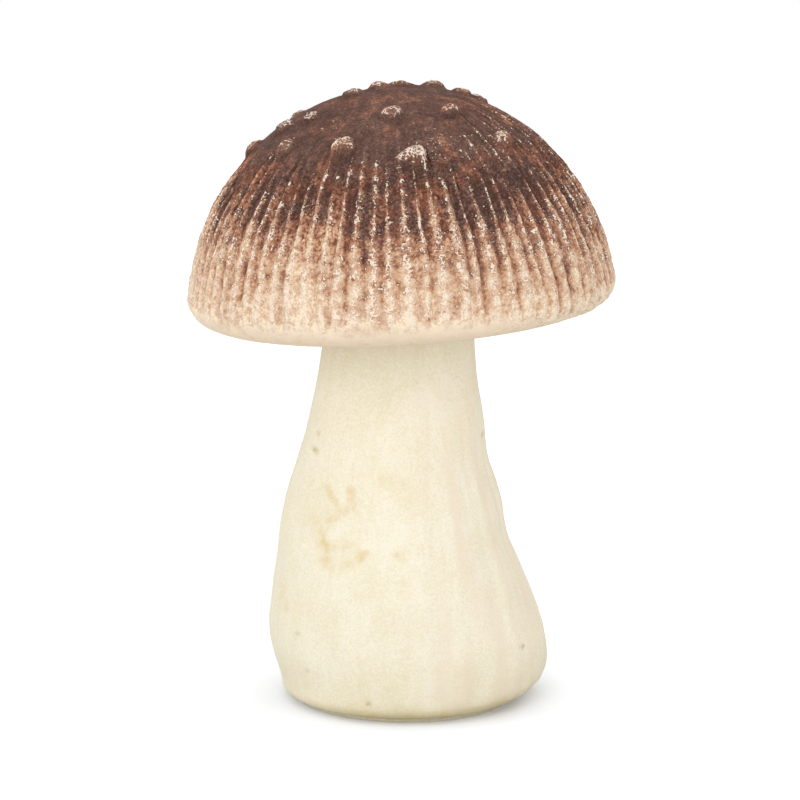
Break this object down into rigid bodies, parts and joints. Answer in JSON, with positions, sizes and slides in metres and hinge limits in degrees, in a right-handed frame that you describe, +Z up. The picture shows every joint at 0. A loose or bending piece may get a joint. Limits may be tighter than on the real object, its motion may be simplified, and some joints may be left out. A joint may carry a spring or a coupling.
{
  "type": "decorative mushroom",
  "caption": "Standing mushroom ornament: a cast domed cap with ribs, warts and gills, doweled and glued to a bulbous cast stem on a felt pad.",
  "frame": {"origin": "middle of the felt pad's underside, where the ornament stands", "axes": "+Z up through the stem, front faces -Y, +X to the right; the cap leans a little towards -X"},
  "size_m": [0.0839, 0.084, 0.1223],
  "materials": {
    "painted_cap": "rough matt paint on cast stone, dark brown at the crown, paling to beige at the rim, with dry-brushed off-white ribs and warts",
    "cream_stem": "matt cream paint on cast stone with faint tan stains",
    "dowel_steel": "plain drawn steel",
    "set_adhesive": "set construction adhesive, matt beige",
    "cream_felt": "short-napped cream felt"
  },
  "bodies": {
    "root": {"cap": "painted_cap", "stem": "cream_stem", "dowel": "dowel_steel", "cap_adhesive": "set_adhesive", "felt_pad": "cream_felt"}
  },
  "joints": []
}
